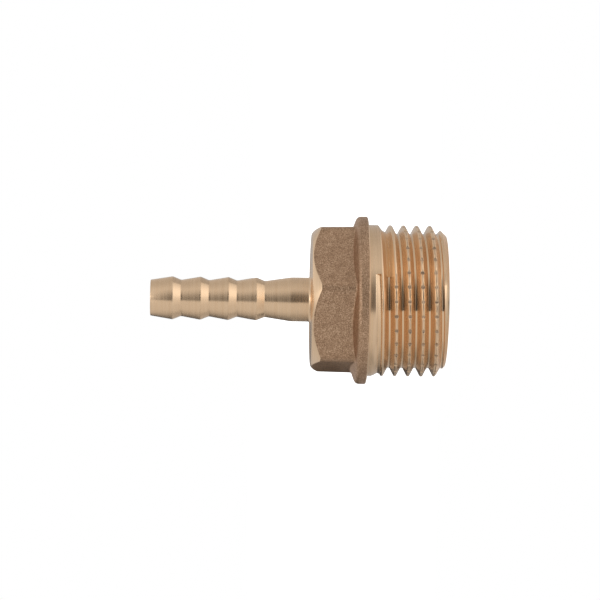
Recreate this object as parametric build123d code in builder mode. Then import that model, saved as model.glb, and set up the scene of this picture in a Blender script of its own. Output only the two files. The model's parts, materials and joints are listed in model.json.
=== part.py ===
from build123d import *
from math import cos, pi, radians, tan
import os

# Hose barb tail: one piece of brass, drop-forged as a hexagon with a round
# flange and then turned, with a barbed tail for a hose at one end and a
# parallel pipe thread at the other.
#
# It stands on its thread end.  The origin is the centre of that end face and
# +Z runs up the axis to the tip of the tail.  Sizes are millimetres, angles
# are degrees.

# ---- Pipe thread: G 1/2 parallel, right-hand ----
thread_diameter = 20.92
threads_per_inch = 14
thread_flank_angle = 55.0
thread_depth_ratio = 0.6403  # depth of the groove as a share of the pitch
thread_crest_ratio = 0.165  # flat on each crest as a share of the pitch
thread_length = 10.85  # end face to the flange's sealing face
thread_end_chamfer = 1.40
thread_stop_gap = 0.77  # sealing face to the groove's centre, where the cut stops
thread_stop_direction = -70.0  # where that is, about +Z from +X
runout_gap = 0.84  # sealing face to where the sloping last cut leaves the crests
runout_angle = 31.0

# ---- Round flange ----
flange_diameter = 23.18
flange_rim_height = 1.42
flange_slope = 20.0
flange_bevel = 0.35  # between the rim and the slope
flange_edge_break = 0.12

# ---- Forged hexagon ----
hex_across_flats = 18.68  # at its top face
hex_top_gap = 7.70  # sealing face to that top face
hex_draft = 1.0
hex_turn = -20.2  # direction of one corner, about +Z from +X
hex_corner_radius = 1.6
hex_face_diameter = 18.32  # rim of the flat turned on its top
hex_chamfer_angle = 41.0

# ---- Hose tail ----
shank_diameter = 6.10
shank_length = 2.75
shank_root_bevel = 0.38
neck_length = 3.47  # taper from the shank to the barbs
barb_count = 4
barb_pitch = 3.85
barb_diameter = 5.96
valley_diameter = 5.05
valley_land = 0.20
barb_back_length = 1.12  # the steep side, towards the hexagon
tip_diameter = 4.94
tip_length = 3.07  # tip to the first barb's crest
tip_edge_break = 0.08

# ---- Waterway ----
tail_bore_diameter = 3.60
counterbore_diameter = 14.50
counterbore_depth = 11.00
counterbore_cone_angle = 120.0
counterbore_mouth_chamfer = 0.50

# ---- Heights and radii that follow ----
thread_pitch = 25.4 / threads_per_inch
thread_depth = thread_depth_ratio * thread_pitch
thread_radius = thread_diameter / 2
thread_root_radius = thread_radius - thread_depth
flange_radius = flange_diameter / 2
flange_rim_top = thread_length + flange_rim_height
hex_top = thread_length + hex_top_gap
hex_height = hex_top - flange_rim_top
hex_foot_across_flats = hex_across_flats + 2 * hex_height * tan(radians(hex_draft))
hex_corner_reach = hex_foot_across_flats / 2 / cos(pi / 6)
hex_face_radius = hex_face_diameter / 2
hex_chamfer_drop = (hex_corner_reach - hex_face_radius) * tan(radians(hex_chamfer_angle))
shank_radius = shank_diameter / 2
shank_top = hex_top + shank_length
neck_top = shank_top + neck_length
barb_radius = barb_diameter / 2
valley_radius = valley_diameter / 2
tip_radius = tip_diameter / 2
last_crest = neck_top + valley_land + barb_back_length
first_crest = last_crest + (barb_count - 1) * barb_pitch
tail_top = first_crest + tip_length
bore_radius = tail_bore_diameter / 2
counterbore_radius = counterbore_diameter / 2
counterbore_cone_rise = (counterbore_radius - bore_radius) / tan(radians(counterbore_cone_angle / 2))

# ---- The thread's groove, as cutters ----
# The groove is cut one turn at a time, from below the end face up to where the
# cut stops.  Each cutter reaches a little outside the crests.
flank_run = tan(radians(thread_flank_angle / 2))
groove_overshoot = thread_depth / 4
crest_half_gap = (1 - thread_crest_ratio) * thread_pitch / 2
root_half_gap = crest_half_gap - thread_depth * flank_run
outer_half_gap = crest_half_gap + groove_overshoot * flank_run
groove_reach = thread_depth + groove_overshoot
groove_stop = thread_length - thread_stop_gap
groove_turns = int(groove_stop / thread_pitch) + 2
groove_start = groove_stop - groove_turns * thread_pitch

with BuildPart() as groove_turn:
    with BuildLine() as one_turn:
        Helix(pitch=thread_pitch, height=thread_pitch, radius=thread_root_radius)
    helix = one_turn.line
    with BuildSketch(Plane(origin=helix @ 0, x_dir=(1, 0, 0), z_dir=helix % 0)):
        Polygon(
            (0, -root_half_gap),
            (groove_reach, -outer_half_gap),
            (groove_reach, outer_half_gap),
            (0, root_half_gap),
            align=None,
        )
    sweep(path=helix, is_frenet=True)

# The last turns are cut by a sloping lead, so they grow shallower towards the
# flange: a cone keeps the metal that the lead never reaches.
lead_slope = tan(radians(runout_angle))
lead_top = thread_length + thread_pitch
lead_level = thread_length - runout_gap
lead_apex = lead_level - thread_radius / lead_slope

with BuildPart() as lead_cone:
    with BuildSketch(Plane.XZ):
        Polygon(
            (0, lead_apex),
            ((lead_top - lead_apex) * lead_slope, lead_top),
            (0, lead_top),
            align=None,
        )
    revolve(axis=Axis.Z)

groove_cutters = []
for turn in range(groove_turns):
    with BuildPart() as cutter:
        with Locations((0, 0, groove_start + turn * thread_pitch)):
            add(groove_turn.part, rotation=(0, 0, thread_stop_direction))
        add(lead_cone.part, mode=Mode.SUBTRACT)
    groove_cutters.append(cutter.part)

# ---- The pipe thread ----
with BuildPart() as pipe_thread:
    # Blank with its end chamfer, then the groove round it.
    with BuildSketch(Plane.XZ):
        Polygon(
            (0, 0),
            (thread_radius - thread_end_chamfer, 0),
            (thread_radius, thread_end_chamfer),
            (thread_radius, thread_length),
            (0, thread_length),
            align=None,
        )
    revolve(axis=Axis.Z)
    for groove_cutter in groove_cutters:
        add(groove_cutter, mode=Mode.SUBTRACT)

# ---- The forged hexagon ----
with BuildPart() as hexagon:
    # Drafted sides and round corners, drawn from the foot.
    with BuildSketch(Plane.XY.offset(flange_rim_top)) as hexagon_foot:
        RegularPolygon(hex_foot_across_flats / 2, 6, major_radius=False, rotation=hex_turn)
        fillet(hexagon_foot.vertices(), radius=hex_corner_radius)
    extrude(amount=hex_height, taper=hex_draft)

    # Its top face and chamfer are turned, which scallops the six sides.
    with BuildSketch(Plane.XZ):
        Polygon(
            (0, flange_rim_top),
            (hex_corner_reach, flange_rim_top),
            (hex_corner_reach, hex_top - hex_chamfer_drop),
            (hex_face_radius, hex_top),
            (0, hex_top),
            align=None,
        )
    revolve(axis=Axis.Z, mode=Mode.INTERSECT)

# ---- The fitting ----
with BuildPart() as hose_barb_tail:
    # Flange: square on its sealing side, sloping up to the hexagon's foot.
    flange_rise = (flange_radius - shank_radius) * tan(radians(flange_slope))
    with BuildSketch(Plane.XZ):
        Polygon(
            (0, thread_length),
            (flange_radius, thread_length),
            (flange_radius, flange_rim_top),
            (shank_radius, flange_rim_top + flange_rise),
            (0, flange_rim_top + flange_rise),
            align=None,
        )
    revolve(axis=Axis.Z)
    rim_edges = hose_barb_tail.edges().filter_by(GeomType.CIRCLE).sort_by(SortBy.RADIUS)[-2:]
    seat_edge, slope_edge = rim_edges.sort_by(Axis.Z)
    chamfer(slope_edge, length=flange_bevel)
    chamfer(seat_edge, length=flange_edge_break)
    add(hexagon.part)

    # Tail: shank, neck and barbs in one outline, then turned round the axis.
    with BuildSketch(Plane.XZ):
        with BuildLine():
            outline = [(0, hex_top), (shank_radius + shank_root_bevel, hex_top)]
            outline.append((shank_radius, hex_top + shank_root_bevel))
            outline.append((shank_radius, shank_top))
            outline.append((valley_radius, neck_top))
            for barb in range(barb_count):
                crest = last_crest + barb * barb_pitch
                outline.append((valley_radius, crest - barb_back_length))
                outline.append((barb_radius, crest))
                if barb < barb_count - 1:
                    next_valley = crest + barb_pitch - barb_back_length - valley_land
                    outline.append((valley_radius, next_valley))
            outline.append((tip_radius, tail_top))
            outline.append((0, tail_top))
            Polyline(*outline, close=True)
        make_face()
    revolve(axis=Axis.Z)
    tip_edge = hose_barb_tail.edges().filter_by(GeomType.CIRCLE).sort_by(Axis.Z)[-1]
    chamfer(tip_edge, length=tip_edge_break)

    # Pipe thread, below the sealing face.
    add(pipe_thread.part)

    # Waterway: a narrow bore through the tail, opened out inside the thread.
    with BuildSketch(Plane.XZ):
        Polygon(
            (0, 0),
            (counterbore_radius + counterbore_mouth_chamfer, 0),
            (counterbore_radius, counterbore_mouth_chamfer),
            (counterbore_radius, counterbore_depth),
            (bore_radius, counterbore_depth + counterbore_cone_rise),
            (bore_radius, tail_top),
            (0, tail_top),
            align=None,
        )
    revolve(axis=Axis.Z, mode=Mode.SUBTRACT)

hose_barb_tail.part.label = "hose_barb_tail"

os.makedirs("parts", exist_ok=True)
export_step(hose_barb_tail.part, "parts/hose_barb_tail.step")

print(f"overall length {tail_top:.2f} mm, thread pitch {thread_pitch:.4f} mm")
print(f"hexagon {hex_across_flats:.2f} to {hex_foot_across_flats:.2f} mm across flats")
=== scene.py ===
# %% [markdown]
# # A brass hose barb tail
# One piece of brass joins a soft hose to a pipe: a barbed tail, a hexagon for the
# spanner, a round flange and a half-inch parallel pipe thread.  The fitting stands
# on its thread end, and +Z runs up its axis to the tip of the tail.
# The first cell loads the measured frame, which holds the plain machined part.

# %% Load the frame
import bmesh
import bpy
import json
from math import cos, pi, radians, sin, sqrt, tan
from mathutils import Matrix, Vector, noise

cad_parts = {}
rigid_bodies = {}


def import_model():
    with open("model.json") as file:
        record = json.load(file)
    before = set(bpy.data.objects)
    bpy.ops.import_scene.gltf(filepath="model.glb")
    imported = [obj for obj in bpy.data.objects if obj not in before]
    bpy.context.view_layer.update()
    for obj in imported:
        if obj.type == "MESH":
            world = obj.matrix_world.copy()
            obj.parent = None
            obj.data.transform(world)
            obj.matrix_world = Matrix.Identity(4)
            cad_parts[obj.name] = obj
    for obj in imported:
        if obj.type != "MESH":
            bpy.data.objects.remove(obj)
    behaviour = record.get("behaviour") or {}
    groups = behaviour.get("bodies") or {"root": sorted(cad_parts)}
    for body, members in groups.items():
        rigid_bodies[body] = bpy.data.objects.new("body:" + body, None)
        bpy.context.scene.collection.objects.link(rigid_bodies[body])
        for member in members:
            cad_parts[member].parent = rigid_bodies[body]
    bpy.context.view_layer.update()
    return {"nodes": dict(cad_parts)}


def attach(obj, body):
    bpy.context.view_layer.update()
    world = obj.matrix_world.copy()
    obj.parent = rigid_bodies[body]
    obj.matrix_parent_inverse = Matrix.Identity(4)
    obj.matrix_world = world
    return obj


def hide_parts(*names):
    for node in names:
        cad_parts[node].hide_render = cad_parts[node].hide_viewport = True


for left_over in list(bpy.data.objects):
    bpy.data.objects.remove(left_over)
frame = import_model()
print("nodes in the frame:", sorted(frame["nodes"]))

# %% [markdown]
# ## Sizes that everything shares
# All sizes are in millimetres until the mesh is made, because a turner thinks in
# millimetres.  Heights run up from the thread's end face, and angles are in degrees
# round the axis.  Points often crowd to both sides of a middle, at a nick or at a
# corner, so a small helper turns steps to one side into steps to both.

# %% Shared sizes
MM = 0.001
CORE = "hose_barb_tail"
SEAT_HEIGHT = 10.85
HEX_TOP = 18.55
TAIL_TOP = 40.71


def ring_point(radius, height, angle):
    return (radius * cos(radians(angle)), radius * sin(radians(angle)), height)


def mirrored(steps):
    """Steps to both sides of a middle, in rising order, with the middle itself."""
    return [-step for step in reversed(steps)] + [0.0] + steps


print(f"seat at {SEAT_HEIGHT} mm, top face at {HEX_TOP} mm, tip at {TAIL_TOP} mm")

# %% [markdown]
# ## A mesh made of rings
# A turned part is a stack of rings.  A modifier such as Screw would spin one outline,
# but the thread, the nicks and the hexagon all change round the axis.  So this small
# builder takes rings of points, one after another, and closes the skin between them.
# Where two neighbouring rings have different numbers of points, it walks round both
# and always steps along the one that lags behind.

# %% The ring builder
TURNED = 0
FORGED = 1


class Skin:
    """Points and faces of one closed mesh, with a finish for each face."""

    def __init__(self):
        self.points = []
        self.faces = []
        self.finish = []

    def ring(self, radii, heights, angles):
        first = len(self.points)
        for radius, height, angle in zip(radii, heights, angles):
            self.points.append(ring_point(radius, height, angle))
        return list(range(first, len(self.points)))

    def round_ring(self, radius, height, angles):
        count = len(angles)
        return self.ring([radius] * count, [height] * count, angles)

    def face(self, corners, finish):
        """Adds a face, and leaves out corners that have run together."""
        kept = []
        for corner in corners:
            if corner not in kept:
                kept.append(corner)
        if len(kept) > 2:
            self.faces.append(kept)
            self.finish.append(finish)

    def join(self, lower, upper, finish):
        """Joins two rings with the same number of points."""
        count = len(lower)
        for i in range(count):
            j = (i + 1) % count
            self.face((lower[i], lower[j], upper[j], upper[i]), finish)

    def bridge(self, lower, lower_angles, upper, upper_angles, finish):
        """Joins two rings whose angles rise by one full turn, with any numbers of points."""
        n_low = len(lower)
        n_up = len(upper)
        gaps = [abs(angle - lower_angles[0]) for angle in upper_angles]
        first = gaps.index(min(gaps))
        i = 0
        j = first
        while i < n_low or j < first + n_up:
            next_low = lower_angles[(i + 1) % n_low] + 360.0 * ((i + 1) // n_low)
            next_up = upper_angles[(j + 1) % n_up] + 360.0 * ((j + 1) // n_up)
            upper_done = j >= first + n_up
            low = lower[i % n_low]
            up = upper[j % n_up]
            if upper_done or (i < n_low and next_low <= next_up):
                i += 1
                self.face((low, lower[i % n_low], up), finish)
            else:
                j += 1
                self.face((low, upper[j % n_up], up), finish)


skin = Skin()
print("finishes: turned brass", TURNED, "and blasted forging", FORGED)

# %% [markdown]
# ## The pipe thread
# A G 1/2 thread has 14 turns to the inch and 55 degree flanks.  Its groove is a helix,
# so the shape is written as a rule that gives a radius for any direction and height:
# the groove, its sloping run-out under the flange and the end chamfer.  A rule is
# easier to get right than a boolean cut with a swept cutter, and it leaves no slivers.
# The corners of the groove are eased a little, because no thread tool has sharp ones.

# %% The thread's rule
PITCH = 25.4 / 14
FLANK_ANGLE = 55.0
DEPTH_SHARE = 0.6403
CREST_SHARE = 0.165
CREST_RADIUS = 10.46
ROOT_RADIUS = CREST_RADIUS - DEPTH_SHARE * PITCH
FLANK_RISE = 1 / tan(radians(FLANK_ANGLE / 2))
ROOT_HALF = (1 - CREST_SHARE) * PITCH / 2 - (CREST_RADIUS - ROOT_RADIUS) / FLANK_RISE
STOP_ANGLE = -70.0
STOP_HEIGHT = SEAT_HEIGHT - 0.77
LEAD_HEIGHT = SEAT_HEIGHT - 0.84
LEAD_SLOPE = tan(radians(31.0))
END_CHAMFER = 1.40
ROOT_EASE = 0.12
CREST_EASE = 0.24


def soft_min(a, b, width):
    blend = max(width - abs(a - b), 0.0) / width
    return min(a, b) - blend * blend * width / 4


def soft_max(a, b, width):
    return -soft_min(-a, -b, width)


def groove_radius(offset):
    """The radius at this height from the middle of the groove, with its corners eased."""
    flank = ROOT_RADIUS + (abs(offset) - ROOT_HALF) * FLANK_RISE
    return soft_min(soft_max(flank, ROOT_RADIUS, ROOT_EASE), CREST_RADIUS, CREST_EASE)


def last_rise(turn, height):
    """How far a height is above the middle of the last groove."""
    return height - STOP_HEIGHT - PITCH * (turn - 360.0) / 360.0


def thread_radius(turn, height):
    """The radius at a direction, in degrees past the groove's stop, and a height."""
    rise = last_rise(turn, height)
    in_last_groove = rise > -PITCH / 2
    if not in_last_groove:
        rise = (rise + PITCH / 2) % PITCH - PITCH / 2
    radius = groove_radius(rise)
    if in_last_groove:
        lead = CREST_RADIUS + (height - LEAD_HEIGHT) * LEAD_SLOPE
        radius = max(radius, min(lead, CREST_RADIUS))
    return min(radius, CREST_RADIUS - END_CHAMFER + height)


print(f"pitch {PITCH:.4f} mm, groove {CREST_RADIUS - ROOT_RADIUS:.3f} mm deep")

# %% [markdown]
# ## The nicks on the crests
# The crests are nicked all the way round, 32 times a turn, so that hemp or thread tape
# can't slip on them.  A serrated wheel presses each nick in.  Points are therefore
# spaced closely at each nick and widely between nicks.  No two presses are quite
# alike, so each nick has its own depth, width and place.  They come from plain noise at
# a point that belongs to the nick, and not from random numbers or from the noise that
# gives vectors, because those change from one run to the next.  The first and the last
# column of points lie just beside the groove's stop, where the thread's steps are.

# %% The nicks' rule
NICKS = 32
NICK_STEP = 360.0 / NICKS
NICK_PHASE = -0.8
NICK_DEPTH = 0.20
NICK_HALF = 1.60
SHIFT_SPREAD = 0.25
WIDTH_SPREAD = 0.3
MEAN_CUT = 0.85
CUT_SPREAD = 0.5
NICK_STRIDE = 3.17
CREST_STRIDE = 5.31
KIND_STRIDE = 7.3
NICK_SEED = 1.7
JOIN_EDGE = 0.1
JOIN_GAP = 0.25
NICK_COLUMNS = mirrored([0.45, 0.85, 1.25, 1.65, 2.1, 3.0, 4.3])


def thread_columns():
    """Directions of the thread's columns of points, in degrees past the groove's stop."""
    turns = [JOIN_EDGE, 360.0 - JOIN_EDGE]
    for nick in range(NICKS):
        for offset in NICK_COLUMNS:
            turn = (NICK_PHASE + NICK_STEP * nick + offset - STOP_ANGLE) % 360.0
            if JOIN_GAP < turn < 360.0 - JOIN_GAP:
                turns.append(turn)
    return sorted(turns)


def nick_chances(index, crest):
    """Three values from -1 to 1 for one nick: its shift, its width and its depth."""
    chances = []
    for kind in range(3):
        layer = NICK_SEED + KIND_STRIDE * kind
        chances.append(noise.noise(Vector((index * NICK_STRIDE, crest * CREST_STRIDE, layer))))
    return chances


def nick_cut(turn, height):
    """How deep a nick is at a place on the crests, from 0 to about 1."""
    angle = turn + STOP_ANGLE - NICK_PHASE
    index = round(angle / NICK_STEP)
    crest = round((height - PITCH * turn / 360.0) / PITCH)
    shift, widening, deepening = nick_chances(index, crest)
    away = abs(angle - index * NICK_STEP - SHIFT_SPREAD * shift)
    half = NICK_HALF * (1 + WIDTH_SPREAD * widening)
    return max(0.0, 1 - (away / half) ** 2) * (MEAN_CUT + CUT_SPREAD * deepening)


print(f"nicks: {NICKS} to a turn, about {NICK_DEPTH} mm deep")

# %% [markdown]
# ## The seam along the crests
# The thread tool pushes metal up from both sides of a crest, and where the two meet in
# the middle a fine broken seam stays.  It is a shallow line that noise opens and shuts.
# The last rule adds the nicks and the seam to the thread.  It also tells how much
# painted shade each place gets: both are painted darker, as shade in a hollow.

# %% The seam's rule
SEAM_DEPTH = 0.07
SEAM_HALF = 0.08
SEAM_OPEN = 0.35
SEAM_ROUND = 0.55
SEAM_UP = 0.9
SEAM_SEED = 4.2
CREST_BAND = NICK_DEPTH * 1.5
DARK_BAND = 0.02


def seam_cut(turn, height, rise):
    """The fine broken seam along the middle of a crest."""
    off_middle = abs(rise % PITCH - PITCH / 2)
    wander = noise.noise(Vector((turn * SEAM_ROUND, height * SEAM_UP, SEAM_SEED)))
    return max(0.0, 1 - off_middle / SEAM_HALF) * max(0.0, SEAM_OPEN + wander)


def nicked_radius(turn, height):
    """The radius with nicks and seam, and how much painted shade the place gets, from 0 to 1."""
    radius = thread_radius(turn, height)
    rise = last_rise(turn, height)
    if rise > -PITCH or radius < CREST_RADIUS - CREST_BAND:
        return radius, 0.0
    cut = nick_cut(turn, height)
    seam = seam_cut(turn, height, rise)
    nick_floor = CREST_RADIUS - NICK_DEPTH * cut
    # Painted shade: points on a nick's floor, and in the seam, get a mark that darkens them.
    mark = cut if radius > nick_floor - DARK_BAND else 0.0
    return min(radius, nick_floor) - SEAM_DEPTH * seam, max(mark, seam)


print(f"seam: {2 * SEAM_HALF:.2f} mm wide, up to {SEAM_DEPTH} mm deep")

# %% [markdown]
# ## Points along the helix
# Each row of points climbs one pitch in a turn, as the groove does, so that rows run
# along its corners and never across them.  Rows lie close together at the eased root
# and at the eased crest, and wide apart on the straight flanks.  A row that would pass
# the end face or the seat stops there, and uses the point that is already in place.

# %% The thread's points
ROW_STEPS = [0.09, 0.12, 0.15, 0.18, 0.215, 0.25, 0.61, 0.65, 0.69, 0.73, 0.77, 0.82]
ROWS = mirrored(ROW_STEPS) + [PITCH / 2]
FIRST_PITCH = -int(STOP_HEIGHT / PITCH) - 2
LAST_PITCH = 2
thread_turns = thread_columns()
thread_angles = [turn + STOP_ANGLE for turn in thread_turns]
nick_shade_marks = {}
groove_marks = {}


def add_thread_point(turn, height):
    """Adds a point of the thread, keeps its two marks and gives its number."""
    radius, mark = nicked_radius(turn, height)
    index = len(skin.points)
    skin.points.append(ring_point(radius, height, turn + STOP_ANGLE))
    groove_marks[index] = (CREST_RADIUS - radius) / (CREST_RADIUS - ROOT_RADIUS)
    if mark > 0:
        nick_shade_marks[index] = mark
    return index


thread_grid = [[] for turn in thread_turns]
last_height = [None] * len(thread_turns)
for pitch_index in range(FIRST_PITCH, LAST_PITCH + 1):
    for row in ROWS:
        for column, turn in enumerate(thread_turns):
            climb = PITCH * (turn - 360.0) / 360.0
            height = STOP_HEIGHT + climb + pitch_index * PITCH + row
            height = min(max(height, 0.0), SEAT_HEIGHT)
            if height == last_height[column]:
                thread_grid[column].append(thread_grid[column][-1])
            else:
                thread_grid[column].append(add_thread_point(turn, height))
                last_height[column] = height
print(f"thread: {len(thread_turns)} columns, {len(ROWS)} rows to a pitch")

# %% [markdown]
# ## Faces along the helix
# Neighbouring columns are joined row by row.  Where the last column meets the first,
# the helix has climbed by one pitch, so there the rows are joined one pitch apart.

# %% The thread's faces
top_row = len(thread_grid[0]) - 1
for here, there in zip(thread_grid, thread_grid[1:]):
    for row in range(top_row):
        skin.face((here[row], there[row], there[row + 1], here[row + 1]), TURNED)
here = thread_grid[-1]
there = thread_grid[0]
for row in range(top_row):
    far_low = there[min(row + len(ROWS), top_row)]
    far_high = there[min(row + len(ROWS) + 1, top_row)]
    skin.face((here[row], far_low, far_high, here[row + 1]), TURNED)
for row in range(len(ROWS)):
    skin.face((here[0], there[row], there[row + 1]), TURNED)
thread_foot = [column[0] for column in thread_grid]
thread_head = [column[-1] for column in thread_grid]
print(f"thread: {len(skin.faces)} faces")

# %% [markdown]
# ## The hexagon
# The head is forged, so its six sides lean inwards by a degree and their corners are
# round.  A six-sided cylinder with a bevel would have the same outline, but points on
# it would fall at the corners only.  Here columns of points crowd at each corner and
# also cross the flats, where the turned chamfer will need them.

# %% The hexagon's rule
HEX_HALF = 18.68 / 2
HEX_DRAFT = tan(radians(1.0))
HEX_TURN = -20.2
HEX_CORNER = 1.6
CORNER_COLUMNS = [0.75, 1.5, 2.25, 3.0, 3.7, 4.4, 5.4]
FLAT_COLUMNS = [7.5 + 2.5 * step for step in range(9)]


def hexagon_radius(off_corner, height):
    """The hexagon's radius at an angle from its nearest corner and a height."""
    half = HEX_HALF + (HEX_TOP - height) * HEX_DRAFT
    off_flat = radians(30.0 - off_corner)
    if half * tan(off_flat) <= (half - HEX_CORNER) * tan(radians(30.0)):
        return half / cos(off_flat)
    centre = (half - HEX_CORNER) / cos(radians(30.0))
    across = centre * sin(radians(off_corner))
    return centre * cos(radians(off_corner)) + sqrt(HEX_CORNER**2 - across**2)


head_angles = []
for corner in range(6):
    middle = HEX_TURN + 60.0 * corner
    offsets = mirrored(CORNER_COLUMNS + FLAT_COLUMNS) + [30.0]
    head_angles.extend(middle + offset for offset in offsets)
off_corners = [abs((angle - HEX_TURN + 30.0) % 60.0 - 30.0) for angle in head_angles]
print(f"head: {len(head_angles)} columns")

# %% [markdown]
# ## Soft corners
# No edge of a real fitting is quite sharp.  A bevel modifier treats all edges of a mesh
# alike, but here every corner needs its own size, so the outlines are rounded before
# they become rings: by an arc for the fillet, and by a short curve elsewhere.

# %% Arcs and eased corners
def arc(centre, radius, start, end, steps):
    points = []
    for i in range(steps + 1):
        angle = radians(start + (end - start) * i / steps)
        points.append((centre[0] + radius * cos(angle), centre[1] + radius * sin(angle)))
    return points


def toward(corner, target, reach):
    """A place on the way from a corner to a target, at most halfway."""
    dx = target[0] - corner[0]
    dy = target[1] - corner[1]
    size = sqrt(dx * dx + dy * dy)
    share = min(reach, size * 0.49) / size
    return corner[0] + dx * share, corner[1] + dy * share


def eased_corner(before, corner, after, reach, steps):
    """A quadratic curve that rounds a corner between two straight runs."""
    start = toward(corner, before, reach)
    end = toward(corner, after, reach)
    points = []
    for i in range(steps + 1):
        t = i / steps
        a = (1 - t) * (1 - t)
        b = 2 * t * (1 - t)
        c = t * t
        x = a * start[0] + b * corner[0] + c * end[0]
        y = a * start[1] + b * corner[1] + c * end[1]
        points.append((x, y))
    return points


print("a square corner, eased:", eased_corner((1, 0), (0, 0), (0, 1), 0.4, 2))

# %% [markdown]
# ## The flange and the turned top of the hexagon
# The flange slopes up to the hexagon, and a soft fillet joins the two.  The lathe then
# turns the top face and a chamfer, which leaves a scalloped edge on the six sides.
# Two heights have to be found in each column: where a side meets the flange's slope,
# and where the chamfer cuts it.  The side leans, so each depends on the other's radius,
# and a short loop lets them settle.  Every column has its points at its own heights,
# which is why the scallops come out smooth.

# %% The head's outline in each column
FLANGE_RADIUS = 11.59
RIM_TOP = SEAT_HEIGHT + 1.42
FLANGE_SLOPE = tan(radians(20.0))
FACE_RADIUS = 18.32 / 2
FACE_CHAMFER = tan(radians(41.0))
EDGE_BREAK = 0.12
RIM_EASE = 0.55
FOOT_EASE = 0.28
CHAMFER_EASE = 0.05
FACE_EASE = 0.24
SIDE_SHARES = (0.15, 0.3, 0.45, 0.6, 0.75, 0.9)
SETTLE_STEPS = 12


def side_foot(off_corner):
    """(radius, height) where a side of the hexagon meets the flange's slope."""
    side = HEX_HALF
    for _ in range(SETTLE_STEPS):
        height = RIM_TOP + (FLANGE_RADIUS - side) * FLANGE_SLOPE
        side = hexagon_radius(off_corner, height)
    return side, height


def side_shoulder(off_corner):
    """(radius, height) where the turned chamfer cuts a side of the hexagon."""
    drop = 0.0
    for _ in range(SETTLE_STEPS):
        side = hexagon_radius(off_corner, HEX_TOP - drop)
        drop = (side - FACE_RADIUS) * FACE_CHAMFER
    return side, HEX_TOP - drop


def head_outline(off_corner):
    """(radius, height, finish of the face above) up one column of the head."""
    rim_foot = (FLANGE_RADIUS, SEAT_HEIGHT + EDGE_BREAK)
    rim_head = (FLANGE_RADIUS, RIM_TOP)
    foot = side_foot(off_corner)
    shoulder = side_shoulder(off_corner)
    face_edge = (FACE_RADIUS, HEX_TOP)
    forged_points = [rim_foot]
    forged_points += eased_corner(rim_foot, rim_head, foot, RIM_EASE, 6)
    forged_points += eased_corner(rim_head, foot, shoulder, FOOT_EASE, 5)
    for share in SIDE_SHARES:
        height = foot[1] + FOOT_EASE + (shoulder[1] - foot[1] - FOOT_EASE) * share
        forged_points.append((hexagon_radius(off_corner, height), height))
    bend = eased_corner(foot, shoulder, face_edge, CHAMFER_EASE, 2)
    forged_points.append(bend[0])
    turned_points = bend[1:]
    turned_points += eased_corner(shoulder, face_edge, (0, HEX_TOP), FACE_EASE, 4)
    outline = [(FLANGE_RADIUS - EDGE_BREAK, SEAT_HEIGHT, TURNED)]
    outline += [(*point, FORGED) for point in forged_points]
    outline += [(*point, TURNED) for point in turned_points]
    return outline


outlines = [head_outline(off_corner) for off_corner in off_corners]
print(f"head: {len(outlines[0])} points up each column")

# %% [markdown]
# ## The skin of the head
# The outlines of all columns have the same number of points, so the first points of all
# columns make the first ring, the second points the second, and so on.  The lowest ring
# is bridged to the top row of the thread, and that flat ring is the seat.

# %% The head's rings
head_rings = []
for level in range(len(outlines[0])):
    radii = [outline[level][0] for outline in outlines]
    heights = [outline[level][1] for outline in outlines]
    head_rings.append(skin.ring(radii, heights, head_angles))
skin.bridge(thread_head, thread_angles, head_rings[0], head_angles, TURNED)
for level in range(len(head_rings) - 1):
    skin.join(head_rings[level], head_rings[level + 1], outlines[0][level][2])
print(f"head: {len(head_rings)} rings")

# %% [markdown]
# ## The hose tail
# The tail is turned in one pass with a form tool: a short shank, a neck that narrows
# gently, and four barbs.  Each barb slopes gently towards the tip, so the hose slides
# on, and steeply towards the hexagon, so that it can't slide off.  Tool corners are
# never quite sharp, so every change of slope gets a small radius.

# %% The tail
TAIL_COLUMNS = 128
BARBS = 4
SHANK_RADIUS = 3.05
SHANK_TOP = HEX_TOP + 2.75
SHANK_FILLET = 0.45
SHANK_EASE = 0.25
NECK_TOP = SHANK_TOP + 3.47
BARB_RADIUS = 2.98
BARB_PITCH = 3.85
BARB_BACK = 1.12
BARB_EASE = 0.15
VALLEY_RADIUS = 5.05 / 2
VALLEY_LAND = 0.20
VALLEY_EASE = 0.10
TIP_RADIUS = 2.47
TIP_EASE = 0.09
BORE_RADIUS = 1.80
LOWEST_BARB = NECK_TOP + VALLEY_LAND + BARB_BACK
tail_angles = [360.0 * i / TAIL_COLUMNS - 180.0 for i in range(TAIL_COLUMNS)]


def tail_corners():
    """(radius, height, how far the corner is eased) up the tail."""
    corners = [(SHANK_RADIUS, SHANK_TOP, SHANK_EASE), (VALLEY_RADIUS, NECK_TOP, VALLEY_EASE)]
    for barb in range(BARBS):
        crest = LOWEST_BARB + barb * BARB_PITCH
        corners.append((VALLEY_RADIUS, crest - BARB_BACK, VALLEY_EASE))
        corners.append((BARB_RADIUS, crest, BARB_EASE))
        if barb < BARBS - 1:
            land_foot = crest + BARB_PITCH - BARB_BACK - VALLEY_LAND
            corners.append((VALLEY_RADIUS, land_foot, VALLEY_EASE))
    corners.append((TIP_RADIUS, TAIL_TOP, TIP_EASE))
    return corners


corners = tail_corners()
stops = [(SHANK_RADIUS, HEX_TOP + SHANK_FILLET)]
stops += [(radius, height) for radius, height, ease in corners]
stops.append((BORE_RADIUS, TAIL_TOP))
fillet_centre = (SHANK_RADIUS + SHANK_FILLET, HEX_TOP + SHANK_FILLET)
tail_outline = arc(fillet_centre, SHANK_FILLET, 270, 180, 6)
for i, (radius, height, ease) in enumerate(corners):
    tail_outline += eased_corner(stops[i], (radius, height), stops[i + 2], ease, 3)
tail_rings = [skin.round_ring(radius, height, tail_angles) for radius, height in tail_outline]
for lower, upper in zip(tail_rings, tail_rings[1:]):
    skin.join(lower, upper, TURNED)
print(f"tail: {len(tail_rings)} rings of {TAIL_COLUMNS} points")

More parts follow.
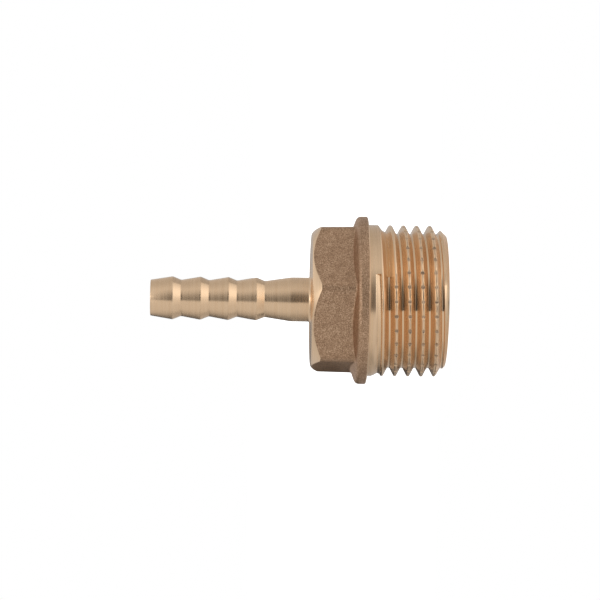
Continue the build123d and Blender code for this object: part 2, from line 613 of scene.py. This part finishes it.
# %% [markdown]
# ## The turned top face
# The top face is flat, but its outer edge has the hexagon's columns and its inner edge
# has the tail's.  Two rings between them keep the long thin triangles of the change
# away from both edges, where they would spoil the shading.

# %% The top face
FACE_OUTER = 7.2
FACE_INNER = 6.0
face_outer = skin.round_ring(FACE_OUTER, HEX_TOP, head_angles)
face_inner = skin.round_ring(FACE_INNER, HEX_TOP, tail_angles)
skin.join(head_rings[-1], face_outer, TURNED)
skin.bridge(face_outer, head_angles, face_inner, tail_angles, TURNED)
skin.join(face_inner, tail_rings[0], TURNED)
print(f"top face: turned flat from {FACE_RADIUS:.2f} mm to {SHANK_RADIUS + SHANK_FILLET:.2f} mm")

# %% [markdown]
# ## The waterway
# A narrow drill runs right through the tail, and a wider one opens the thread end.
# Its point leaves a cone between the two.  The rings run down through the bore and
# close the skin on the thread's end face.  A few rings in the middle of the bores only
# keep the faces from getting very long.

# %% The bores
COUNTERBORE_RADIUS = 7.25
COUNTERBORE_DEPTH = 11.00
DRILL_POINT = 120.0
MOUTH_CHAMFER = 0.50
TIP_BREAK = 0.05
BORE_HEIGHTS = (32.0, 24.0)
COUNTERBORE_HEIGHT = 6.0
cone_rise = (COUNTERBORE_RADIUS - BORE_RADIUS) / tan(radians(DRILL_POINT / 2))
bore_outline = [(BORE_RADIUS + TIP_BREAK, TAIL_TOP), (BORE_RADIUS, TAIL_TOP - TIP_BREAK)]
bore_outline += [(BORE_RADIUS, height) for height in BORE_HEIGHTS]
bore_outline += [
    (BORE_RADIUS, COUNTERBORE_DEPTH + cone_rise),
    (COUNTERBORE_RADIUS, COUNTERBORE_DEPTH),
    (COUNTERBORE_RADIUS, COUNTERBORE_HEIGHT),
    (COUNTERBORE_RADIUS, MOUTH_CHAMFER),
    (COUNTERBORE_RADIUS + MOUTH_CHAMFER, 0.0),
]
bore_rings = [tail_rings[-1]]
for radius, height in bore_outline:
    bore_rings.append(skin.round_ring(radius, height, tail_angles))
for lower, upper in zip(bore_rings, bore_rings[1:]):
    skin.join(lower, upper, TURNED)
skin.bridge(bore_rings[-1], tail_angles, thread_foot, thread_angles, TURNED)
print(f"whole skin: {len(skin.points)} points, {len(skin.faces)} faces")

# %% [markdown]
# ## From points to a mesh
# The points become one closed mesh.  Smooth shading hides the facets, and edges that
# turn by more than 35 degrees stay crisp, as a tool leaves them.  How much painted shade
# each nick and the seam get, and how far down the groove each point lies, go with the
# mesh as two attributes, so that the finish can paint shade into the nicks and be
# smoother at the groove's root.

# %% The mesh
SHARP_TURN = 35.0


def add_marks(mesh, name, marks):
    """Keeps a mark from 0 to 1 for each point as an attribute of the mesh."""
    attribute = mesh.attributes.new(name, "FLOAT", "POINT")
    for index, mark in marks.items():
        attribute.data[index].value = min(max(mark, 0.0), 1.0)


mesh = bpy.data.meshes.new("fitting_skin")
mesh.from_pydata([(x * MM, y * MM, z * MM) for x, y, z in skin.points], [], skin.faces)
mesh.validate()
add_marks(mesh, "nick", nick_shade_marks)
add_marks(mesh, "groove", groove_marks)
for polygon, finish in zip(mesh.polygons, skin.finish):
    polygon.material_index = finish
    polygon.use_smooth = True
mesh.set_sharp_from_angle(angle=radians(SHARP_TURN))
mesh.update()
fitting = bpy.data.objects.new("brass_fitting", mesh)
bpy.context.scene.collection.objects.link(fitting)
print(f"marks kept: {len(nick_shade_marks)} in nicks and seam, {len(groove_marks)} in the groove")

# %% [markdown]
# ## Is the skin closed?
# A closed mesh has two faces at every edge, and only then does its volume mean
# anything.  The volume is worth a look, because it should be close to that of the plain
# machined part.

# %% A check of the mesh
check = bmesh.new()
check.from_mesh(mesh)
open_edges = sum(1 for edge in check.edges if len(edge.link_faces) != 2)
triangles = sum(len(face.verts) - 2 for face in check.faces)
volume = check.calc_volume(signed=True) / MM**3
check.free()
print(f"mesh: {triangles} triangles, {open_edges} open edges, {volume:.0f} cubic mm")

# %% [markdown]
# ## Helpers for the finishes
# A finish is a small network of nodes: noise makes a pattern, a colour ramp turns it
# into tones, and a bump node turns it into fine relief.  The same few steps come back
# in every finish, so each gets a short helper.

# %% Node helpers
def new_material(name):
    material = bpy.data.materials.new(name)
    material.use_nodes = True
    nodes = material.node_tree.nodes
    nodes.clear()
    output = nodes.new("ShaderNodeOutputMaterial")
    shader = nodes.new("ShaderNodeBsdfPrincipled")
    material.node_tree.links.new(shader.outputs[0], output.inputs[0])
    return material, nodes, material.node_tree.links, shader


def object_place(nodes):
    """Coordinates in metres, measured on the object itself."""
    return nodes.new("ShaderNodeTexCoord").outputs["Object"]


def add_noise(nodes, links, vector, scale, detail=2.0, roughness=0.5):
    texture = nodes.new("ShaderNodeTexNoise")
    texture.inputs["Scale"].default_value = scale
    texture.inputs["Detail"].default_value = detail
    texture.inputs["Roughness"].default_value = roughness
    links.new(vector, texture.inputs["Vector"])
    return texture.outputs["Fac"]


def add_math(nodes, links, kind, first, second):
    node = nodes.new("ShaderNodeMath")
    node.operation = kind
    for socket, value in zip(node.inputs, (first, second)):
        if isinstance(value, (int, float)):
            socket.default_value = value
        else:
            links.new(value, socket)
    return node.outputs[0]


def add_ramp(nodes, links, factor, tones):
    """A colour ramp, given as (position, colour) from low to high."""
    node = nodes.new("ShaderNodeValToRGB")
    ramp = node.color_ramp
    ramp.elements[0].position = tones[0][0]
    ramp.elements[0].color = (*tones[0][1], 1)
    ramp.elements[1].position = tones[-1][0]
    ramp.elements[1].color = (*tones[-1][1], 1)
    for position, colour in tones[1:-1]:
        element = ramp.elements.new(position)
        element.color = (*colour, 1)
    links.new(factor, node.inputs[0])
    return node.outputs[0]


def add_mix(nodes, links, factor, first):
    """A mix that starts from a colour; the caller sets or links what it goes to."""
    mix = nodes.new("ShaderNodeMix")
    mix.data_type = "RGBA"
    links.new(factor, mix.inputs["Factor"])
    links.new(first, mix.inputs["A"])
    return mix


def add_bump(nodes, links, shader, height, strength, distance):
    bump = nodes.new("ShaderNodeBump")
    bump.inputs["Strength"].default_value = strength
    bump.inputs["Distance"].default_value = distance
    links.new(height, bump.inputs["Height"])
    links.new(bump.outputs[0], shader.inputs["Normal"])


def add_attribute(nodes, name):
    node = nodes.new("ShaderNodeAttribute")
    node.attribute_name = name
    return node.outputs["Fac"]


print("steps of a finish: noise, mathematics, ramp, mix, bump and attribute")

# %% [markdown]
# ## Turned brass: the lathe's lines
# Bright brass is a metal, so nearly all that shows is what it reflects.  The lathe
# leaves fine rings round the axis.  They are too fine to model, so a bump made from
# noise that is stretched round the axis stands for them.  Such rings smear a reflection
# along the axis and not round it, which is what the anisotropic value does.  The root
# of the groove is cut by the sharp tip of the tool and keeps fewer lines, so there the
# bump grows calm.

# %% The lathe's lines
FINE_ROUND = 60.0
FINE_ALONG = 9000.0
BROAD_ROUND = 25.0
BROAD_ALONG = 2200.0
ROOT_START = 0.80
ROOT_CALM = 0.85
LINE_STRENGTH = 0.24
LINE_DEPTH = 0.02 * MM


def lathe_vector(nodes, links, around, along):
    """Coordinates that run fast along the axis and slowly round it, for tool marks."""
    stretch = nodes.new("ShaderNodeMapping")
    stretch.inputs["Scale"].default_value = (around, around, along)
    links.new(object_place(nodes), stretch.inputs["Vector"])
    return stretch.outputs["Vector"]


turned_brass, nodes, links, shader = new_material("turned_brass")
shader.inputs["Metallic"].default_value = 1.0
shader.inputs["Anisotropic"].default_value = 0.7
shader.inputs["Anisotropic Rotation"].default_value = 0.25
fine_vector = lathe_vector(nodes, links, FINE_ROUND, FINE_ALONG)
broad_vector = lathe_vector(nodes, links, BROAD_ROUND, BROAD_ALONG)
fine_lines = add_noise(nodes, links, fine_vector, 1.0)
broad_lines = add_noise(nodes, links, broad_vector, 1.0, 3.0)
lines = add_math(nodes, links, "ADD", fine_lines, broad_lines)
past_root_start = add_math(nodes, links, "SUBTRACT", add_attribute(nodes, "groove"), ROOT_START)
past_root_start = add_math(nodes, links, "MAXIMUM", past_root_start, 0.0)
root_share = add_math(nodes, links, "MULTIPLY", past_root_start, 1 / (1 - ROOT_START))
calm = add_math(nodes, links, "MULTIPLY", root_share, -ROOT_CALM)
calm = add_math(nodes, links, "ADD", calm, 1.0)
lines = add_math(nodes, links, "MULTIPLY", lines, calm)
add_bump(nodes, links, shader, lines, LINE_STRENGTH, LINE_DEPTH)
print(f"lathe lines: about {1 / (FINE_ALONG * MM):.2f} mm and {1 / (BROAD_ALONG * MM):.2f} mm wide")

# %% [markdown]
# ## Turned brass: colour and polish
# Fresh cuts differ a little in tone and gloss from line to line, so the broad noise
# drives the colour and the roughness too.  The nicks and the seam are painted browner,
# as shade in a hollow, and the root of the groove is the smoothest place of all.

# %% Colour and polish of the turned brass
BRASS_DEEP = (0.78, 0.545, 0.345)
BRASS_PALE = (0.86, 0.618, 0.405)
NICK_SHADE_BROWN = (0.30, 0.20, 0.14, 1)
NICK_SHADE_SHARE = 0.8
ROUGHNESS_LEAST = 0.20
ROUGHNESS_SPREAD = 0.14
ROOT_POLISH = 0.22
ROUGHNESS_FLOOR = 0.05
brass_tone = add_ramp(nodes, links, broad_lines, [(0.3, BRASS_DEEP), (0.7, BRASS_PALE)])
# Painted shade: the nick attribute mixes the nicks and the seam towards a dark brown.
nick_shade_share = add_math(nodes, links, "MULTIPLY", add_attribute(nodes, "nick"), NICK_SHADE_SHARE)
nick_shade_mix = add_mix(nodes, links, nick_shade_share, brass_tone)
nick_shade_mix.inputs["B"].default_value = NICK_SHADE_BROWN
links.new(nick_shade_mix.outputs["Result"], shader.inputs["Base Color"])
roughness = add_math(nodes, links, "MULTIPLY", broad_lines, ROUGHNESS_SPREAD)
roughness = add_math(nodes, links, "ADD", roughness, ROUGHNESS_LEAST)
root_polish = add_math(nodes, links, "MULTIPLY", root_share, ROOT_POLISH)
roughness = add_math(nodes, links, "SUBTRACT", roughness, root_polish)
roughness = add_math(nodes, links, "MAXIMUM", roughness, ROUGHNESS_FLOOR)
links.new(roughness, shader.inputs["Roughness"])
print("turned brass:", len(nodes), "nodes")

# %% [markdown]
# ## Blasted forging
# The hexagon's sides and the flange keep the skin of the forging, which was cleaned by
# blasting it with small shot.  It is pitted all over, dull, and browner than the fresh
# metal, so its colour and bump come from fine noise at the size of the pits.

# %% Blasted forging
PIT_SCALE = 6800.0
PIT_DETAIL = 2.0
PIT_ROUGHNESS = 0.65
PATCH_SCALE = 900.0
PIT_SHARE = 0.85
FORGED_DARK = (0.26, 0.155, 0.092)
FORGED_MIDDLE = (0.455, 0.28, 0.17)
FORGED_PALE = (0.73, 0.51, 0.34)
FORGED_ROUGHNESS = 0.45
PIT_STRENGTH = 0.8
PIT_DEPTH = 0.06 * MM
blasted_forging, nodes, links, shader = new_material("blasted_forging")
shader.inputs["Metallic"].default_value = 1.0
shader.inputs["Roughness"].default_value = FORGED_ROUGHNESS
place = object_place(nodes)
pits = add_noise(nodes, links, place, PIT_SCALE, PIT_DETAIL, PIT_ROUGHNESS)
patches = add_noise(nodes, links, place, PATCH_SCALE)
pit_tone = add_math(nodes, links, "MULTIPLY", pits, PIT_SHARE)
patch_tone = add_math(nodes, links, "MULTIPLY", patches, 1 - PIT_SHARE)
tone = add_math(nodes, links, "ADD", pit_tone, patch_tone)
forged_tones = [(0.34, FORGED_DARK), (0.5, FORGED_MIDDLE), (0.66, FORGED_PALE)]
links.new(add_ramp(nodes, links, tone, forged_tones), shader.inputs["Base Color"])
add_bump(nodes, links, shader, pits, PIT_STRENGTH, PIT_DEPTH)
print(f"pits: about {1 / (PIT_SCALE * MM):.2f} mm across")

# %% [markdown]
# ## Finishes on the fitting
# Each face already carries the number of its finish, so the two materials only have to
# be added in that order.  The dressed mesh then takes the place of the plain part, and
# rides on the body that the frame calls root, since nothing on the fitting moves.

# %% Finishes on the fitting
mesh.materials.append(turned_brass)
mesh.materials.append(blasted_forging)
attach(fitting, "root")
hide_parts(CORE)
print("finishes on the fitting:", [material.name for material in mesh.materials])

# %% [markdown]
# ## The floor
# Small bright metal mirrors the floor as much as the lamps, so the floor's shape and
# tone matter.  It is pale and plain, and only the camera sees it as pure white.  It
# stops short in front, as a table under a tent does, so that light reaches the barbs
# and the thread from below.  A tongue of it reaches under the fitting, and a round spot
# there glows faintly and fills the end chamfer.

# %% The floor
FLOOR_FRONT = 0.012
FLOOR_BACK = 3.0
FLOOR_SIDE = 3.0
TONGUE_FRONT = -0.009
TONGUE_SIDE = 0.014
SPOT_RADIUS = 0.0125
SPOT_GLOW = 0.30
STAGE_ROUGHNESS = 0.9


def grey(level):
    return (level, level, level)


def add_stage_mesh(name, corners, material):
    """A single face that the fitting is shown with and that isn't part of it."""
    stage_mesh = bpy.data.meshes.new(name)
    stage_mesh.from_pydata(corners, [], [range(len(corners))])
    stage_mesh.materials.append(material)
    stage_piece = bpy.data.objects.new(name, stage_mesh)
    bpy.context.scene.collection.objects.link(stage_piece)
    return stage_piece


def new_matt_material(name, scale, dark, light):
    """A matt grey with a faint mottle between two levels."""
    material, nodes, links, shader = new_material(name)
    shader.inputs["Roughness"].default_value = STAGE_ROUGHNESS
    shader.inputs["Specular IOR Level"].default_value = 0.0
    mottle = add_noise(nodes, links, object_place(nodes), scale)
    tone = add_ramp(nodes, links, mottle, [(0.3, grey(dark)), (0.7, grey(light))])
    links.new(tone, shader.inputs["Base Color"])
    return material, nodes, links, shader


floor_white, nodes, links, shader = new_matt_material("floor_white", 6.0, 0.62, 0.66)
shader.inputs["Emission Color"].default_value = (1, 1, 1, 1)
from_axis = nodes.new("ShaderNodeVectorMath")
from_axis.operation = "LENGTH"
links.new(object_place(nodes), from_axis.inputs[0])
on_spot = add_math(nodes, links, "LESS_THAN", from_axis.outputs["Value"], SPOT_RADIUS)
spot_glow = add_math(nodes, links, "MULTIPLY", on_spot, SPOT_GLOW)
to_camera = nodes.new("ShaderNodeLightPath").outputs["Is Camera Ray"]
glow_strength = add_math(nodes, links, "MAXIMUM", to_camera, spot_glow)
links.new(glow_strength, shader.inputs["Emission Strength"])
floor_corners = [
    (-FLOOR_SIDE, FLOOR_FRONT, 0),
    (-TONGUE_SIDE, FLOOR_FRONT, 0),
    (-TONGUE_SIDE, TONGUE_FRONT, 0),
    (TONGUE_SIDE, TONGUE_FRONT, 0),
    (TONGUE_SIDE, FLOOR_FRONT, 0),
    (FLOOR_SIDE, FLOOR_FRONT, 0),
    (FLOOR_SIDE, FLOOR_BACK, 0),
    (-FLOOR_SIDE, FLOOR_BACK, 0),
]
floor = add_stage_mesh("floor", floor_corners, floor_white)
print(f"floor: a tongue {2 * TONGUE_SIDE * 1000:.0f} mm wide under the fitting")

# %% [markdown]
# ## A dark card
# Without any dark thing near it, metal looks flat.  A narrow card of black felt stands
# beside the hexagon, out of the camera's sight, and deepens the side that turns away.

# %% The dark card
CARD_SIDE = -0.018
CARD_FRONT = 0.003
CARD_BACK = 0.090
CARD_FOOT = 0.0116
CARD_TOP = 0.0177
card_felt = new_matt_material("card_felt", 900.0, 0.03, 0.05)[0]
card_corners = [
    (CARD_SIDE, CARD_FRONT, CARD_FOOT),
    (CARD_SIDE, CARD_BACK, CARD_FOOT),
    (CARD_SIDE, CARD_BACK, CARD_TOP),
    (CARD_SIDE, CARD_FRONT, CARD_TOP),
]
card = add_stage_mesh("card", card_corners, card_felt)
card.visible_camera = False
print(f"card: {(CARD_TOP - CARD_FOOT) * 1000:.1f} mm high, seen only in the metal")

# %% [markdown]
# ## The tent
# Small bright metal is lit by a tent: white cloth all round with a gap for the camera.
# The gap is what draws the dark band along the middle of the tail.  Real cloth would
# need a big mesh and many lamps, so the world's colour stands for it and changes with
# direction.  The barbs, the chamfers and the thread each mirror a different height of
# the tent, so it has five bands from the bottom to the top.  Each list gives grey
# levels at angles round the tent, where 0 is the camera's side.

# %% The tent's levels
BOTTOM_GLOW = [(-180, 0.35), (-60, 0.62), (0, 0.74), (60, 0.85), (180, 0.45)]
LOW_GLOW = [
    (-180, 0.25), (-150, 0.36), (-115, 0.62), (-89, 0.70), (-66, 0.70), (-44, 0.74),
    (-22, 0.88), (0, 1.12), (20, 1.44), (44, 1.44), (66, 1.24), (89, 0.98),
    (115, 0.78), (180, 0.50),
]
LEVEL_GLOW = [
    (-180, 0.13), (-148, 0.10), (-115, 0.22), (-92, 0.44), (-74, 0.62), (-58, 0.67),
    (-43, 0.70), (-22, 0.70), (-17, 0.66), (-15.5, 0.05), (8, 0.07), (20, 0.11),
    (30, 0.28), (42, 0.54), (52, 0.66), (74, 0.62), (93, 0.58), (115, 0.58),
    (150, 0.62), (180, 0.50),
]
RAISED_GLOW = [
    (-180, 0.56), (-150, 0.62), (-115, 0.72), (-92, 0.74), (-60, 0.74), (-22, 0.70),
    (-16, 0.60), (-13, 0.22), (4, 0.22), (14, 0.40), (28, 0.68), (43, 0.74),
    (58, 0.72), (74, 0.63), (93, 0.57), (115, 0.56), (150, 0.60), (180, 0.50),
]
TOP_GLOW = [
    (-180, 0.80), (-90, 0.46), (-40, 0.80), (-15, 1.50), (25, 1.50), (50, 0.85),
    (90, 0.60), (180, 1.10),
]
BANDS = [
    (-0.88, -0.76, LOW_GLOW),
    (-0.44, -0.25, LEVEL_GLOW),
    (0.15, 0.32, RAISED_GLOW),
    (0.45, 0.80, TOP_GLOW),
]
print(f"tent: {len(BANDS) + 1} bands of light")

# %% [markdown]
# ## From levels to light
# A colour ramp turns each list into light, and the height of a direction picks the
# band, with a soft change from one band to the next.  As on the floor, the camera
# itself sees only white.

# %% The tent's light
world = bpy.data.worlds.new("tent")
bpy.context.scene.world = world
world.use_nodes = True
nodes = world.node_tree.nodes
links = world.node_tree.links
nodes.clear()
direction = nodes.new("ShaderNodeTexCoord").outputs["Generated"]
split = nodes.new("ShaderNodeSeparateXYZ")
links.new(direction, split.inputs[0])
frontward = add_math(nodes, links, "MULTIPLY", split.outputs[1], -1.0)
side_angle = add_math(nodes, links, "ARCTAN2", split.outputs[0], frontward)
turn_share = add_math(nodes, links, "MULTIPLY", side_angle, 1 / (2 * pi))
turn_share = add_math(nodes, links, "ADD", turn_share, 0.5)
sky_height = split.outputs[2]


def add_glow(levels):
    """Light round the tent from grey levels at angles from the front."""
    tones = [(angle / 360 + 0.5, grey(level)) for angle, level in levels]
    return add_ramp(nodes, links, turn_share, tones)


def add_rise(start, end):
    """Goes from 0 to 1 between two heights."""
    past = add_math(nodes, links, "SUBTRACT", sky_height, start)
    rise = add_math(nodes, links, "MULTIPLY", past, 1 / (end - start))
    rise = add_math(nodes, links, "MAXIMUM", rise, 0.0)
    return add_math(nodes, links, "MINIMUM", rise, 1.0)


glow = add_glow(BOTTOM_GLOW)
for start, end, levels in BANDS:
    band = add_mix(nodes, links, add_rise(start, end), glow)
    links.new(add_glow(levels), band.inputs["B"])
    glow = band.outputs["Result"]
to_camera = nodes.new("ShaderNodeLightPath").outputs["Is Camera Ray"]
shown = add_mix(nodes, links, to_camera, glow)
shown.inputs["B"].default_value = (1, 1, 1, 1)
backdrop = nodes.new("ShaderNodeBackground")
links.new(shown.outputs["Result"], backdrop.inputs["Color"])
world_output = nodes.new("ShaderNodeOutputWorld")
links.new(backdrop.outputs[0], world_output.inputs[0])
print("tent:", len(nodes), "nodes")

# %% [markdown]
# ## The key light
# A tent alone is very even.  One small soft lamp, high in front, adds a last highlight
# on the edges that face it.  Its square is large beside the fitting, so the highlight
# has no hard rim.

# %% The key light
KEY_SIZE = 0.08
KEY_ENERGY = 0.06
KEY_PLACE = (0.03, -0.30, 0.36)
KEY_TARGET = Vector((0, 0, 0.02))
key_data = bpy.data.lights.new("key", "AREA")
key_data.shape = "SQUARE"
key_data.size = KEY_SIZE
key_data.energy = KEY_ENERGY
key = bpy.data.objects.new("key", key_data)
key.location = KEY_PLACE
key.rotation_euler = (KEY_TARGET - key.location).to_track_quat("-Z", "Y").to_euler()
key.visible_camera = False
bpy.context.scene.collection.objects.link(key)
print(f"key light: {(KEY_TARGET - key.location).length:.2f} m from the fitting")

# %% [markdown]
# ## The camera
# The camera looks straight across the axis from 0.4 m away with a long lens, and it is
# rolled by a quarter turn, so that the fitting lies across the picture.  It faces the
# fitting square on at the barbs, and the rest is seen very slightly from the tail side.

# %% The camera
CAMERA_DISTANCE = 401.0
CAMERA_HEIGHT = 30.28
AIM_HEIGHT = 20.035
AIM_SIDE = -0.068
ROLL = radians(0.775)
SENSOR_WIDTH = 36.0
MM_PER_PIXEL = 0.1383
PICTURE_WIDTH = 600
camera_data = bpy.data.cameras.new("camera")
camera_data.sensor_fit = "HORIZONTAL"
camera_data.sensor_width = SENSOR_WIDTH
camera_data.lens = SENSOR_WIDTH * (CAMERA_DISTANCE / MM_PER_PIXEL) / PICTURE_WIDTH
camera_data.clip_start = 0.01
camera_data.clip_end = 20.0
camera = bpy.data.objects.new("camera", camera_data)
bpy.context.scene.collection.objects.link(camera)
position = Vector((AIM_SIDE, -CAMERA_DISTANCE, CAMERA_HEIGHT))
look = (Vector((AIM_SIDE, 0, AIM_HEIGHT)) - position).normalized()
level_right = look.cross(Vector((1, 0, 0))).normalized()
level_up = level_right.cross(look)
right = cos(ROLL) * level_right + sin(ROLL) * level_up
up = cos(ROLL) * level_up - sin(ROLL) * level_right
facing = Matrix((right, up, -look)).transposed().to_4x4()
camera.matrix_world = Matrix.Translation(position * MM) @ facing
bpy.context.scene.camera = camera
bpy.context.scene.view_settings.view_transform = "Standard"
print("camera at", [round(value, 4) for value in camera.matrix_world.translation])
